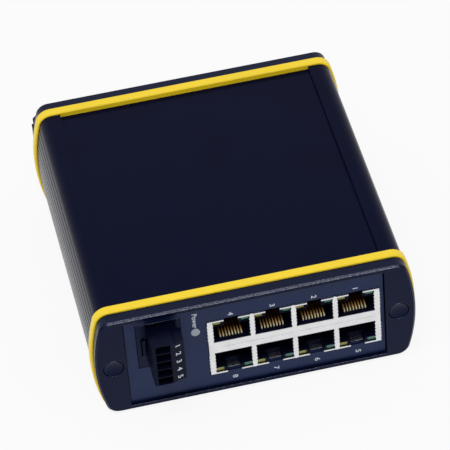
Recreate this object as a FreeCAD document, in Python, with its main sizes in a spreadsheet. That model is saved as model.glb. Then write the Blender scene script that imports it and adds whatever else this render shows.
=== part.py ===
"""DIN-rail network switch: extruded case, two end caps with trim rings, eight stacked
jacks, a pluggable power terminal and a sprung rail clip.

Every piece is drawn in the case's own frame: X to the right along the front, Y = 0 on the
front face and growing to the rear, Z = 0 on the case's centre plane. Each finished piece
is then placed in the part's frame, whose origin is the middle of the footprint.
"""
import FreeCAD, Part
import math
import os
import re
import Sketcher

Vector = FreeCAD.Vector
Rotation = FreeCAD.Rotation

# Driving dimensions in millimetres.
SIZES = {
    # extruded case: its width and height follow from what the front panel holds
    "case_length": 113.2,
    "side_radius": 65.0,
    "corner_radius": 4.5,
    "wall": 2.0,
    "floor_thickness": 1.8,
    "cover_inset": 9.85,
    "cover_recess": 1.2,
    "cover_thickness": 1.6,
    "cover_tuck": 1.9,
    "ledge_thickness": 1.2,
    "ledge_reach": 2.1,
    "groove_pitch": 2.5,
    "groove_depth": 0.3,
    "groove_rows": 7,
    "guide_rib": 1.0,
    "guide_overlap": 1.7,
    "boss_radius": 3.9,
    "fit_gap": 0.1,
    # trim rings and end caps
    "cap_flange": 4.3,
    "cap_bevel": 0.7,
    "ring_width": 3.3,
    "ring_proud": 0.85,
    "ring_depth": 2.7,
    "ring_bevel": 0.4,
    "rear_wall": 3.0,
    # case screws and their blanking plugs
    "screw_inset": 5.85,
    "screw_radius": 1.5,
    "screw_length": 13.0,
    "screw_head_radius": 3.2,
    "screw_head_height": 2.2,
    "blank_radius": 3.35,
    "blank_thickness": 1.4,
    "blank_sink": 0.1,
    "blank_gap": 0.2,
    "blank_taper": 0.35,
    # inset front panel
    "window_inset": 10.3,
    "window_margin": 2.05,
    "window_shoulder": 1.65,
    "panel_recess": 1.1,
    "panel_thickness": 2.0,
    "panel_gap": 0.15,
    "panel_end_gap": 0.3,
    # stacked jack block
    "port_pitch": 13.97,
    "port_columns": 4,
    "jack_margin": 1.745,
    "jack_z": -0.45,
    "jack_end": 8.0,
    "jack_half_height": 12.0,
    "jack_proud": 0.6,
    "jack_depth": 28.0,
    "shield_thickness": 0.3,
    "shield_bar": 2.4,
    "shield_rim": 0.5,
    "shield_opening": 12.5,
    "port_width": 11.9,
    "port_height": 6.9,
    "port_floor": 2.55,
    "port_depth": 13.5,
    "latch_width": 4.8,
    "latch_depth": 4.0,
    "contact_pitch": 1.016,
    "contact_width": 0.38,
    "contact_thickness": 0.3,
    "contact_rise": 2.1,
    "contact_setback": 1.9,
    "contact_reach": 6.4,
    "lamp_width": 2.8,
    "lamp_height": 1.7,
    "lamp_inner": 3.4,
    "lamp_setback": 0.8,
    # circuit boards and what they carry
    "board_thickness": 1.6,
    "board_inset": 4.05,
    "notch_clear": 1.3,
    "notch_rear": 26.0,
    "power_board_clear": 0.7,
    "power_board_low": -14.0,
    "power_board_high": 14.5,
    "transformer_gap": 2.5,
    "transformer_width": 12.6,
    "transformer_length": 12.0,
    "transformer_height": 5.6,
    "chip_gap": 11.8,
    "chip_side": 20.0,
    "chip_height": 1.5,
    "lead_span": 1.2,
    "lead_thickness": 0.2,
    "crystal_gap": 6.3,
    "crystal_setback": 4.0,
    "crystal_length": 7.0,
    "crystal_width": 5.0,
    "crystal_height": 1.4,
    "capacitor_offset": 5.5,
    "capacitor_gap": 11.85,
    "capacitor_radius": 4.0,
    "capacitor_height": 10.0,
    "capacitor_base": 8.3,
    "capacitor_space": 2.7,
    "regulator_space": 2.85,
    "regulator_gap": 16.0,
    "regulator_width": 10.0,
    "regulator_length": 9.0,
    "regulator_height": 2.3,
    "inductor_gap": 0.5,
    "inductor_z": -8.0,
    "inductor_side": 9.0,
    "inductor_height": 4.6,
    "link_width": 2.5,
    "link_reach": 8.0,
    # power lamp
    "power_lamp_offset": 4.85,
    "power_lamp_z": 8.15,
    "lens_radius": 1.5,
    "lens_length": 5.2,
    "lens_proud": 0.4,
    "lamp_body": 3.8,
    "lamp_length": 4.4,
    # pluggable power terminal
    "ways": 5,
    "terminal_pitch": 3.5,
    "terminal_z": 6.35,
    "terminal_margin": 2.7,
    "header_margin": 4.15,
    "header_width": 14.7,
    "header_to_jack": 8.795,
    "header_half_height": 9.55,
    "header_gap": 0.2,
    "header_sink": 0.05,
    "header_rear": 12.0,
    "header_floor": 2.0,
    "socket_half_width": 3.2,
    "socket_half_height": 8.95,
    "slot_inset": 1.4,
    "slot_width": 1.7,
    "slot_low": 1.6,
    "slot_height": 8.0,
    "slot_depth": 1.5,
    "lever_gap": 0.35,
    "lever_foot": 0.9,
    "lever_proud": 1.0,
    "pin_side": 0.8,
    "pin_front": 3.5,
    "pin_tail": 2.0,
    "plug_inset": 3.3,
    "plug_width": 10.8,
    "plug_half_height": 8.75,
    "plug_proud": 9.4,
    "plug_chamfer": 1.4,
    "strip_width": 4.5,
    "seam_inset": 2.95,
    "plug_seam": 0.4,
    "shoulder_start": 2.2,
    "shoulder_drop": 0.45,
    "shoulder_inset": 1.2,
    "plug_gap": 0.15,
    "entry_width": 4.3,
    "entry_height": 2.2,
    "mouth_width": 4.8,
    "mouth_height": 3.2,
    "mouth_depth": 3.0,
    "cage_setback": 0.2,
    "cage_length": 5.0,
    "cage_wall": 0.4,
    "clamp_screw_radius": 0.9,
    "clamp_screw_sink": 0.5,
    # rail clip
    "rail_half_width": 17.5,
    "rail_gap": 0.1,
    "rail_lip": 1.2,
    "clip_inset": 1.45,
    "clip_right": 23.0,
    "clip_half_width": 12.0,
    "clip_thickness": 5.0,
    "clip_corner": 1.7,
    "hook_height": 3.8,
    "hook_wall": 4.0,
    "hook_reach": 1.7,
    "channel_overrun": 3.0,
    "channel_floor": 1.5,
    "latch_inset": 0.85,
    "latch_half_width": 8.0,
    "latch_gap": 0.15,
    "pull_inset": 1.6,
    "pull_width": 2.0,
    "tongue": 0.9,
    "tongue_height": 1.0,
    "spring_slot_inset": 9.1,
    "spring_slot_length": 16.0,
    "spring_slot_half": 2.6,
    "post_length": 3.0,
    "spring_radius": 1.25,
    "spring_wire": 0.5,
    "spring_turns": 5,
    "clip_screw_x": 9.0,
    "clip_screw_radius": 1.2,
    "clip_screw_head": 2.4,
    "clip_screw_head_height": 1.7,
}

doc = FreeCAD.newDocument("rail_switch")
sheet = doc.addObject("Spreadsheet::Sheet", "sizes")
for row, (alias, number) in enumerate(SIZES.items(), 1):
    sheet.set(f"A{row}", alias)
    sheet.set(f"B{row}", str(number))
    sheet.setAlias(f"B{row}", alias)
doc.recompute()

finished = []
places = {}


# ---------------------------------------------------------------- expressions
def cell(expression):
    """Turn every alias in an expression into a reference to the sheet."""
    return re.sub(r"\b[a-z][a-z_]*\b(?!\()", lambda word: "sizes." + word.group(), expression)


def bind(item, prop, expression):
    item.setExpression(prop, cell(expression))


def value(expression):
    """The number that an expression of sizes comes to."""
    return float(sheet.evalExpression(cell(expression)))


def count(alias):
    return int(round(value(alias)))


# Places that several pieces share.
JACK_HALF = "((port_columns - 1) / 2 * port_pitch + jack_end)"
WINDOW_HALF = f"((header_margin + header_width + header_to_jack + jack_margin) / 2 + {JACK_HALF})"
WINDOW_HALF_HEIGHT = "(terminal_z + header_half_height + terminal_margin)"
CASE_HALF = f"({WINDOW_HALF} + window_inset)"
CASE_TOP = f"({WINDOW_HALF_HEIGHT} + window_margin)"
CASE_FRONT = "(cap_flange + ring_width)"
CASE_REAR = "(case_length - cap_flange - ring_width)"
SCREW_X = f"({CASE_HALF} - screw_inset)"
COVER_HALF = f"({CASE_HALF} - cover_inset)"
COVER_TOP = f"({CASE_TOP} - cover_recess)"
COVER_SLOT = f"({COVER_TOP} - cover_thickness - fit_gap)"
JACK_X = f"({WINDOW_HALF} - jack_margin - {JACK_HALF})"
JACK_FACE = "(panel_recess - jack_proud)"
TRANSFORMER_Y = f"({JACK_FACE} + jack_depth + transformer_gap)"
CHIP_Y = f"({TRANSFORMER_Y} + transformer_length + chip_gap + lead_span + chip_side / 2)"
CRYSTAL_X = f"({JACK_X} - chip_side / 2 - lead_span - crystal_gap - crystal_length / 2)"
BOARD_HALF = f"({CASE_HALF} - board_inset)"
BOARD_LOW = "(jack_z + jack_half_height)"
BOARD_HIGH = "(jack_z + jack_half_height + board_thickness)"
PANEL_REAR = "(panel_recess + panel_thickness)"
HEADER_LEFT = f"(header_margin - {WINDOW_HALF})"
HEADER_RIGHT = f"({HEADER_LEFT} + header_width)"
HEADER_FACE = "(panel_recess + header_sink)"
CAN_X = f"({HEADER_LEFT} + capacitor_offset)"
REGULATOR_X = f"({CAN_X} + capacitor_base / 2 + regulator_space + regulator_width / 2)"
POWER_BOARD_X = f"({HEADER_LEFT} - power_board_clear)"
POWER_LAMP_X = f"({HEADER_RIGHT} + power_lamp_offset)"
PLUG_LEFT = f"({HEADER_LEFT} + plug_inset)"
PLUG_RIGHT = f"({PLUG_LEFT} + plug_width)"
STRIP_LEFT = f"({PLUG_RIGHT} - strip_width)"
SOCKET_X = f"({PLUG_LEFT} + socket_half_width + plug_gap)"
CAGE_FRONT = "(mouth_depth + cage_setback - plug_proud)"
CLAMP_Y = f"({CAGE_FRONT} + cage_length / 2)"
CLIP_LEFT = f"(clip_inset - {CASE_HALF})"
CLIP_BACK = "(case_length + clip_thickness)"
HOOK_BACK = "(case_length + clip_thickness + hook_height)"
HOOK_X = "(rail_half_width + rail_gap)"
CHANNEL_RIGHT = "(channel_overrun - rail_half_width)"
LATCH_LEFT = f"(latch_inset - {CASE_HALF})"
LATCH_LOW = "(case_length + channel_floor + latch_gap)"
LATCH_HIGH = "(case_length + clip_thickness - latch_gap)"
SPRING_SLOT_LEFT = f"({LATCH_LEFT} + spring_slot_inset)"
SPRING_SLOT_RIGHT = f"({SPRING_SLOT_LEFT} + spring_slot_length)"
SEAT = "(blank_sink + blank_thickness + fit_gap + screw_head_height)"

# The part's origin: the middle of the overall box, on the plane it rests on.
FRAME_X = "0"
FRAME_Y = f"((plug_proud - {HOOK_BACK}) / 2)"
FRAME_Z = f"({CASE_TOP} + ring_proud)"


# ---------------------------------------------------------------- building blocks
def box(name, x, y, z):
    """A block from its low and high expression along each axis."""
    item = doc.addObject("Part::Box", name)
    for axis, side, (low, high) in zip("xyz", ("Length", "Width", "Height"), (x, y, z)):
        bind(item, side, f"({high}) - ({low})")
        bind(item, "Placement.Base." + axis, low)
    places[item.Name] = (x[0], y[0], z[0])
    return item


def centred(middle, half):
    return f"({middle}) - ({half})", f"({middle}) + ({half})"


TURN = {
    "X": Rotation(Vector(0, 1, 0), 90),
    "Y": Rotation(Vector(1, 0, 0), -90),
    "Z": Rotation(),
}


# Hidden fasteners, their bores and the board's cans are many-sided, to keep the facets few.
SMALL_SIDES = 12
LARGE_SIDES = 16


def rod(name, axis, radius, centre, length, sides=0):
    """A cylinder, or a rod of so many flat sides, along an axis from a starting centre."""
    item = doc.addObject("Part::Prism" if sides else "Part::Cylinder", name)
    item.Placement = FreeCAD.Placement(Vector(), TURN[axis])
    if sides:
        item.Polygon = sides
    bind(item, "Circumradius" if sides else "Radius", radius)
    bind(item, "Height", length)
    for letter, place in zip("xyz", centre):
        bind(item, "Placement.Base." + letter, place)
    places[item.Name] = centre
    return item


def fuse(name, items):
    item = doc.addObject("Part::MultiFuse", name)
    item.Shapes = items
    item.Refine = True
    return item


def cut(name, base, tools):
    item = doc.addObject("Part::Cut", name)
    item.Base = base
    item.Tool = tools[0] if len(tools) == 1 else fuse(name + "_tools", tools)
    item.Refine = True
    return item


def group(name, items):
    item = doc.addObject("Part::Compound", name)
    item.Links = items
    return item


def finish(label, item):
    """Name a finished piece and place it in the part's frame."""
    item.Label = label
    own = places.get(item.Name, ("0", "0", "0"))
    for letter, start, shift in zip("xyz", own, (FRAME_X, FRAME_Y, FRAME_Z)):
        bind(item, "Placement.Base." + letter, f"({start}) + {shift}")
    finished.append(item)
    return item


def origin_plane(body, role):
    return [f for f in body.Origin.OriginFeatures if f.Role == role][0]


def add_dimension(sketch, expression, *constraint):
    index = sketch.addConstraint(Sketcher.Constraint(*constraint))
    bind(sketch, f"Constraints[{index}]", expression)


def outline_sketch(body, name, offset, y):
    """The case's outline grown by an offset: flat top and floor, bowed sides, round corners."""
    half_width, half_height = value(CASE_HALF), value(CASE_TOP)
    side, corner = value("side_radius"), value("corner_radius")
    sketch = body.newObject("Sketcher::SketchObject", name)
    sketch.AttachmentSupport = [(origin_plane(body, "XZ_Plane"), "")]
    sketch.MapMode = "FlatFace"
    bind(sketch, "AttachmentOffset.Base.z", f"-({y})")
    side_x = side - half_width
    corner_z = half_height - corner
    corner_x = math.sqrt((side - corner) ** 2 - corner_z ** 2) - side_x
    turn = math.atan2(corner_z, corner_x + side_x)
    up = Vector(0, 0, 1)

    def arc(x, z, radius, start, end):
        circle = Part.Circle(Vector(x, z, 0), up, radius)
        return sketch.addGeometry(Part.ArcOfCircle(circle, start, end))

    def line(x1, z1, x2, z2):
        return sketch.addGeometry(Part.LineSegment(Vector(x1, z1, 0), Vector(x2, z2, 0)))

    right = arc(-side_x, 0, side, -turn, turn)
    corner_1 = arc(corner_x, corner_z, corner, turn, math.pi / 2)
    top = line(corner_x, half_height, -corner_x, half_height)
    corner_2 = arc(-corner_x, corner_z, corner, math.pi / 2, math.pi - turn)
    left = arc(side_x, 0, side, math.pi - turn, math.pi + turn)
    corner_3 = arc(-corner_x, -corner_z, corner, math.pi + turn, 1.5 * math.pi)
    floor = line(-corner_x, -half_height, corner_x, -half_height)
    corner_4 = arc(corner_x, -corner_z, corner, 1.5 * math.pi, 2 * math.pi - turn)
    loop = [right, corner_1, top, corner_2, left, corner_3, floor, corner_4]
    for first, second in zip(loop, loop[1:] + loop[:1]):
        sketch.addConstraint(Sketcher.Constraint("Tangent", first, 2, second, 1))
    for level in (top, floor):
        sketch.addConstraint(Sketcher.Constraint("Horizontal", level))
    for bow in (right, left):
        sketch.addConstraint(Sketcher.Constraint("PointOnObject", bow, 3, -1))
    sketch.addConstraint(Sketcher.Constraint("Equal", right, left))
    for other in (corner_2, corner_3, corner_4):
        sketch.addConstraint(Sketcher.Constraint("Equal", corner_1, other))
    add_dimension(sketch, f"side_radius + ({offset})", "Radius", right, side)
    add_dimension(sketch, f"corner_radius + ({offset})", "Radius", corner_1, corner)
    bow_centre = f"side_radius - {CASE_HALF}"
    add_dimension(sketch, bow_centre, "DistanceX", right, 3, -1, 1, side_x)
    add_dimension(sketch, bow_centre, "DistanceX", -1, 1, left, 3, side_x)
    height = f"{CASE_TOP} + ({offset})"
    add_dimension(sketch, height, "DistanceY", -1, 1, top, 1, half_height)
    add_dimension(sketch, height, "DistanceY", floor, 1, -1, 1, half_height)
    return sketch


def outline_pad(name, offset, low, high):
    """A pad of the case's outline between two Y planes, and the body that holds it."""
    body = doc.addObject("PartDesign::Body", name)
    pad = body.newObject("PartDesign::Pad", name + "_pad")
    pad.Profile = outline_sketch(body, name + "_outline", offset, low)
    pad.Reversed = True
    bind(pad, "Length", f"({high}) - ({low})")
    doc.recompute()
    return body, pad


def bevel_edges(body, feature, planes, size):
    """Bevel the edges of a pad that lie in the given Y planes."""
    names = []
    for number, edge in enumerate(feature.Shape.Edges, 1):
        limits = edge.BoundBox
        flat = abs(limits.YMax - limits.YMin) < 1e-6
        if flat and any(abs(limits.YMin - plane) < 1e-6 for plane in planes):
            names.append(f"Edge{number}")
    bevel = body.newObject("PartDesign::Chamfer", body.Name + "_bevel")
    bevel.Base = (feature, names)
    bind(bevel, "Size", size)
    body.Tip = bevel
    return bevel


def prism(name, points, span, axis="X"):
    """A straight prism through points (each a pair of lengths) along one axis."""
    low, high = span
    if axis == "X":
        corners = [Vector(low, first, second) for first, second in points]
        along = Vector(high - low, 0, 0)
    else:
        corners = [Vector(first, second, low) for first, second in points]
        along = Vector(0, 0, high - low)
    return Part.Face(Part.makePolygon(corners + corners[:1])).extrude(along)


def shaped(name, shapes):
    """A piece whose shape is worked out in code from the sheet and its neighbours."""
    item = doc.addObject("Part::Feature", name)
    item.Shape = shapes[0] if len(shapes) == 1 else Part.makeCompound(shapes)
    return item


# ---------------------------------------------------------------- case
def make_case():
    outer, _ = outline_pad("case_outer", "0", CASE_FRONT, CASE_REAR)
    inner, _ = outline_pad("case_inner", "-wall", f"{CASE_FRONT} - 1", f"{CASE_REAR} + 1")
    length = (CASE_FRONT, CASE_REAR)
    past = (f"{CASE_FRONT} - 1", f"{CASE_REAR} + 1")
    ledge_low = f"({COVER_SLOT} - ledge_thickness)"
    inside = []
    for side, sign in (("left", -1), ("right", 1)):
        def across(near, far):
            return (near, far) if sign > 0 else (f"-({far})", f"-({near})")
        inside.append(box(f"ledge_{side}", across(f"{COVER_HALF} - ledge_reach", CASE_HALF),
                          past, (ledge_low, CASE_TOP)))
        for level, low, high in (
                ("under", f"{BOARD_LOW} - fit_gap - guide_rib", f"{BOARD_LOW} - fit_gap"),
                ("over", f"{BOARD_HIGH} + fit_gap", f"{BOARD_HIGH} + fit_gap + guide_rib")):
            inside.append(box(f"guide_{level}_{side}", across(f"{BOARD_HALF} - guide_overlap", CASE_HALF),
                              past, (low, high)))
        inside.append(rod(f"boss_{side}", "Y", "boss_radius",
                          (f"{sign} * {SCREW_X}", past[0], "0"), f"{past[1]} - {past[0]}"))
    floor_top = f"-{COVER_TOP} + floor_thickness"
    inside.append(box("floor_pad", centred("0", f"{COVER_HALF} + cover_tuck"), past,
                      (f"-{COVER_TOP}", floor_top)))
    hollow = cut("case_hollow", inner, inside)
    cuts = [
        hollow,
        box("cover_opening", centred("0", COVER_HALF), past,
            (COVER_SLOT, f"{CASE_TOP} + 1")),
        box("cover_slot", centred("0", f"{COVER_HALF} + cover_tuck"), past,
            (COVER_SLOT, COVER_TOP)),
        box("floor_recess", centred("0", COVER_HALF), past,
            (f"-{CASE_TOP} - 1", f"-{COVER_TOP}")),
    ]
    for side, sign in (("left", -1), ("right", 1)):
        cuts.append(rod(f"boss_bore_{side}", "Y", "screw_radius + fit_gap / 2",
                        (f"{sign} * {SCREW_X}", past[0], "0"), f"{past[1]} - {past[0]}",
                        SMALL_SIDES))
    cuts += side_grooves(length)
    return finish("case_extrusion", cut("case_extrusion", outer, cuts))


def side_grooves(length):
    """Fine V grooves along both bowed sides, evenly spaced around the bow's own centre."""
    grooves = []
    rows = count("groove_rows")
    for sign in (-1, 1):
        for row in range(2 * rows):
            angle = f"(({row} - {rows} + 0.5) * groove_pitch / side_radius * 180 / 3.14159265)"
            vee = doc.addObject("Part::Prism", "side_groove")
            vee.Polygon = 4
            bind(vee, "Circumradius", "groove_depth")
            bind(vee, "Height", f"{length[1]} - {length[0]} + 2")
            vee.Placement = FreeCAD.Placement(Vector(), TURN["Y"])
            middle = f"({CASE_HALF} - side_radius)"
            bind(vee, "Placement.Base.x", f"{sign} * ({middle} + side_radius * cos({angle}))")
            bind(vee, "Placement.Base.y", f"{length[0]} - 1")
            bind(vee, "Placement.Base.z", f"side_radius * sin({angle})")
            grooves.append(vee)
    return grooves


def make_cover():
    panel = box("top_cover", centred("0", f"{COVER_HALF} + cover_tuck - fit_gap"),
                (CASE_FRONT, CASE_REAR),
                (f"{COVER_TOP} - cover_thickness", f"{COVER_TOP} - fit_gap / 2"))
    return finish("top_cover", panel)


# ---------------------------------------------------------------- rings and caps
def make_ring(label, low, high):
    body, pad = outline_pad(label + "_outer", "ring_proud", low, high)
    box_of_pad = pad.Shape.BoundBox
    bevel_edges(body, pad, (box_of_pad.YMin, box_of_pad.YMax), "ring_bevel")
    bore, _ = outline_pad(label + "_bore", "-ring_depth", f"{low} - 1", f"{high} + 1")
    return finish(label, cut(label, body, [bore]))


def cap_blank(label, face, seat, end):
    """A cap's rounded flange and the spigot that locates its ring."""
    low, high = (face, seat) if label == "front_cap" else (seat, face)
    flange, pad = outline_pad(label + "_flange", "0", low, high)
    limits = pad.Shape.BoundBox
    plane = limits.YMin if label == "front_cap" else limits.YMax
    bevel_edges(flange, pad, (plane,), "cap_bevel")
    near, far = (seat, end) if label == "front_cap" else (end, seat)
    spigot, _ = outline_pad(label + "_spigot", "-ring_depth - fit_gap", near, far)
    return fuse(label + "_blank", [flange, spigot])


def screw_holes(label, outside, toward):
    """A counterbore that takes the screw's head and its blanking plug, and a clearance hole."""
    holes = []
    for side, sign in (("left", -1), ("right", 1)):
        for part, radius, depth, sides in (
                ("head_bore", "blank_radius + blank_gap", SEAT, LARGE_SIDES),
                ("screw_bore", "screw_radius + fit_gap / 2", "cap_flange + ring_width + 1",
                 SMALL_SIDES)):
            start = outside if toward > 0 else f"{outside} - ({depth})"
            holes.append(rod(f"{label}_{part}_{side}", "Y", radius,
                             (f"{sign} * {SCREW_X}", start, "0"), depth, sides))
    return holes


def make_front_cap():
    blank = cap_blank("front_cap", "0", "cap_flange", f"{CASE_FRONT} - fit_gap")
    half_width = f"{WINDOW_HALF} - window_shoulder"
    half_height = f"{WINDOW_HALF_HEIGHT} - window_shoulder"
    cuts = [
        box("panel_pocket", centred("0", WINDOW_HALF), ("-1", PANEL_REAR),
            centred("0", WINDOW_HALF_HEIGHT)),
        box("panel_window", centred("0", half_width), ("-1", f"{CASE_FRONT} + 1"),
            centred("0", half_height)),
    ]
    cuts += screw_holes("front_cap", "0", 1)
    return finish("front_cap", cut("front_cap", blank, cuts))


def make_rear_cap():
    blank = cap_blank("rear_cap", "case_length", "case_length - cap_flange",
                      f"{CASE_REAR} + fit_gap")
    half_width = f"{WINDOW_HALF} - window_shoulder"
    half_height = f"{WINDOW_HALF_HEIGHT} - window_shoulder"
    cuts = [box("rear_hollow", centred("0", half_width),
                (f"{CASE_REAR} - 1", "case_length - rear_wall"), centred("0", half_height))]
    cuts += screw_holes("rear_cap", "case_length", -1)
    for number, (x, z) in enumerate(clip_screw_places()):
        cuts.append(rod(f"clip_pilot_{number}", "Y", "clip_screw_radius + fit_gap / 2",
                        (x, "case_length - rear_wall - 1", z), "rear_wall + 2",
                        SMALL_SIDES))
    return finish("rear_cap", cut("rear_cap", blank, cuts))


def make_blanks_and_screws(end, outside, toward):
    blanks, screws = [], []
    for side, sign in (("left", -1), ("right", 1)):
        x = f"{sign} * {SCREW_X}"

        def stretch(name, radius, near, length, sides):
            start = f"{outside} + {near}" if toward > 0 else f"{outside} - ({near} + {length})"
            return rod(f"{end}_{name}_{side}", "Y", radius, (x, start, "0"), length, sides)

        blank = doc.addObject("Part::Cone", f"{end}_blank_{side}")
        blank.Placement = FreeCAD.Placement(Vector(), TURN["Y"])
        wide, narrow = "blank_radius", "blank_radius - blank_taper"
        bind(blank, "Radius1", narrow if toward > 0 else wide)
        bind(blank, "Radius2", wide if toward > 0 else narrow)
        bind(blank, "Height", "blank_thickness")
        sunk = "blank_sink" if toward > 0 else "-(blank_sink + blank_thickness)"
        for letter, place in zip("xyz", (x, f"{outside} + {sunk}", "0")):
            bind(blank, "Placement.Base." + letter, place)
        blanks.append(blank)
        near = f"({SEAT} - screw_head_height)"
        head = stretch("screw_head", "screw_head_radius", near, "screw_head_height", LARGE_SIDES)
        shank = stretch("screw_shank", "screw_radius", SEAT, "screw_length", SMALL_SIDES)
        drive = stretch("screw_drive", "screw_radius", near, "screw_head_height / 2", 6)
        screws.append(cut(f"{end}_screw_{side}", fuse(f"{end}_screw_body_{side}", [head, shank]),
                          [drive]))
    finish(f"{end}_screw_blanks", group(f"{end}_screw_blanks", blanks))
    finish(f"{end}_case_screws", group(f"{end}_case_screws", screws))


def make_front_panel():
    plate = box("panel_plate", centred("0", f"{WINDOW_HALF} - panel_end_gap"),
                ("panel_recess", PANEL_REAR), centred("0", f"{WINDOW_HALF_HEIGHT} - panel_gap"))
    through = ("panel_recess - 1", f"{PANEL_REAR} + 1")
    cuts = [
        box("jack_cutout", centred(JACK_X, f"{JACK_HALF} + panel_gap"), through,
            centred("jack_z", "jack_half_height + panel_gap")),
        box("terminal_cutout", (f"{HEADER_LEFT} - header_gap", f"{HEADER_RIGHT} + header_gap"), through,
            centred("terminal_z", "header_half_height + header_gap")),
        rod("lamp_hole", "Y", "lens_radius + fit_gap / 2",
            (POWER_LAMP_X, through[0], "power_lamp_z"), "panel_thickness + 2"),
    ]
    return finish("front_panel", cut("front_panel", plate, cuts))


# ---------------------------------------------------------------- stacked jacks
def port_places():
    """Each port's column centre and the side of the block's mid plane it opens on."""
    columns = count("port_columns")
    for row in (1, -1):
        for column in range(columns):
            yield f"({JACK_X} + ({column} - (port_columns - 1) / 2) * port_pitch)", row


def above(row, low, high):
    """A span measured from the jack block's mid plane, upwards or downwards."""
    if row > 0:
        return f"jack_z + ({low})", f"jack_z + ({high})"
    return f"jack_z - ({high})", f"jack_z - ({low})"


def make_jack_shield():
    outer = box("shield_outer", centred(JACK_X, JACK_HALF),
                (JACK_FACE, f"{JACK_FACE} + jack_depth"), centred("jack_z", "jack_half_height"))
    inner = box("shield_inner", centred(JACK_X, f"{JACK_HALF} - shield_thickness"),
                (f"{JACK_FACE} + shield_thickness", f"{JACK_FACE} + jack_depth - shield_thickness"),
                centred("jack_z", "jack_half_height - shield_thickness"))
    cuts = [inner, box("bar_crease", centred(JACK_X, f"{JACK_HALF} - port_width / 4"),
                       (f"{JACK_FACE} - 1", f"{JACK_FACE} + shield_thickness / 2"),
                       centred("jack_z", "shield_thickness / 2"))]
    for number, (x, row) in enumerate(port_places(), 1):
        cuts.append(box(f"shield_port_{number}", centred(x, "shield_opening / 2"),
                        (f"{JACK_FACE} - 1", f"{JACK_FACE} + shield_thickness + 0.01"),
                        above(row, "shield_bar", "jack_half_height - shield_rim")))
        cuts.append(box(f"shield_latch_{number}", centred(x, "latch_width / 2"),
                        (f"{JACK_FACE} - 1", f"{JACK_FACE} + latch_depth / 2"),
                        above(row, "jack_half_height - 2 * shield_rim", "jack_half_height + 1")))
    return finish("jack_shield", cut("jack_shield", outer, cuts))


def lamp_span(x, side):
    if side > 0:
        return f"{x} + lamp_inner", f"{x} + lamp_inner + lamp_width"
    return f"{x} - lamp_inner - lamp_width", f"{x} - lamp_inner"


LAMP_TOP = "(jack_half_height - shield_rim - fit_gap)"


def make_jack_insulator():
    """The moulded block behind the shield, its port cavities, and the lamp pipes beside them."""
    block = box("insulator_block", centred(JACK_X, f"{JACK_HALF} - shield_thickness"),
                (f"{JACK_FACE} + shield_thickness", f"{JACK_FACE} + jack_depth - shield_thickness"),
                centred("jack_z", "jack_half_height - shield_thickness"))
    cuts, cavities = [], []
    pipes = {-1: [], 1: []}
    for number, (x, row) in enumerate(port_places(), 1):
        cavity = box(f"port_cavity_{number}", centred(x, "port_width / 2"),
                     (f"{JACK_FACE} - 1", f"{JACK_FACE} + port_depth"),
                     above(row, "port_floor", "port_floor + port_height"))
        cavities.append((cavity, row))
        cuts.append(cavity)
        cuts.append(box(f"latch_shoulder_{number}", centred(x, "latch_width / 2 + 2 * fit_gap"),
                        (f"{JACK_FACE} - 1", f"{JACK_FACE} + latch_depth"),
                        above(row, "port_floor + port_height - 0.01",
                              "port_floor + port_height + lamp_height / 2")))
        cuts.append(box(f"latch_notch_{number}", centred(x, "latch_width / 2 - 2 * fit_gap"),
                        (f"{JACK_FACE} - 1", f"{JACK_FACE} + latch_depth"),
                        above(row, "port_floor + port_height", "jack_half_height + 1")))
        for side in (-1, 1):
            low, high = lamp_span(x, side)
            near, far = above(row, f"{LAMP_TOP} - lamp_height", LAMP_TOP)
            gap = "fit_gap / 2"
            cuts.append(box(f"lamp_bore_{number}", (f"{low} - {gap}", f"{high} + {gap}"),
                            (f"{JACK_FACE} - 1", f"{JACK_FACE} + jack_depth - 1"),
                            (f"{near} - {gap}", f"{far} + {gap}")))
            pipes[side].append(box(f"lamp_pipe_{number}", (low, high),
                                   (f"{JACK_FACE} + lamp_setback", f"{JACK_FACE} + jack_depth - 1"),
                                   (near, far)))
    finish("jack_insulator", cut("jack_insulator", block, cuts))
    finish("yellow_light_pipes", group("yellow_light_pipes", pipes[-1]))
    finish("green_light_pipes", group("green_light_pipes", pipes[1]))
    return cavities


def make_contacts(cavities):
    """Eight folded spring contacts in each port, from the rear wall along the floor and back up."""
    pitch, width = value("contact_pitch"), value("contact_width")
    thick, rise = value("contact_thickness"), value("contact_rise")
    setback, reach = value("contact_setback"), value("contact_reach")
    doc.recompute()
    shapes = []
    for cavity, row in cavities:
        corner = cavity.Placement.Base
        middle = corner.x + cavity.Length.Value / 2
        rear = corner.y + cavity.Width.Value
        front = corner.y + 1 + setback
        floor = corner.z if row > 0 else corner.z + cavity.Height.Value
        leg = [(rear, 0), (front, 0), (front, 3 * thick), (front + reach, rise + thick),
               (front + reach, rise), (front + 2 * thick, 2 * thick),
               (front + 2 * thick, thick), (rear, thick)]
        for number in range(8):
            left = middle + (number - 3.5) * pitch - width / 2
            points = [(y, floor + row * z) for y, z in leg]
            shapes.append(prism("contact", points, (left, left + width)))
    return finish("jack_contacts", shaped("jack_contacts", shapes))


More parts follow.
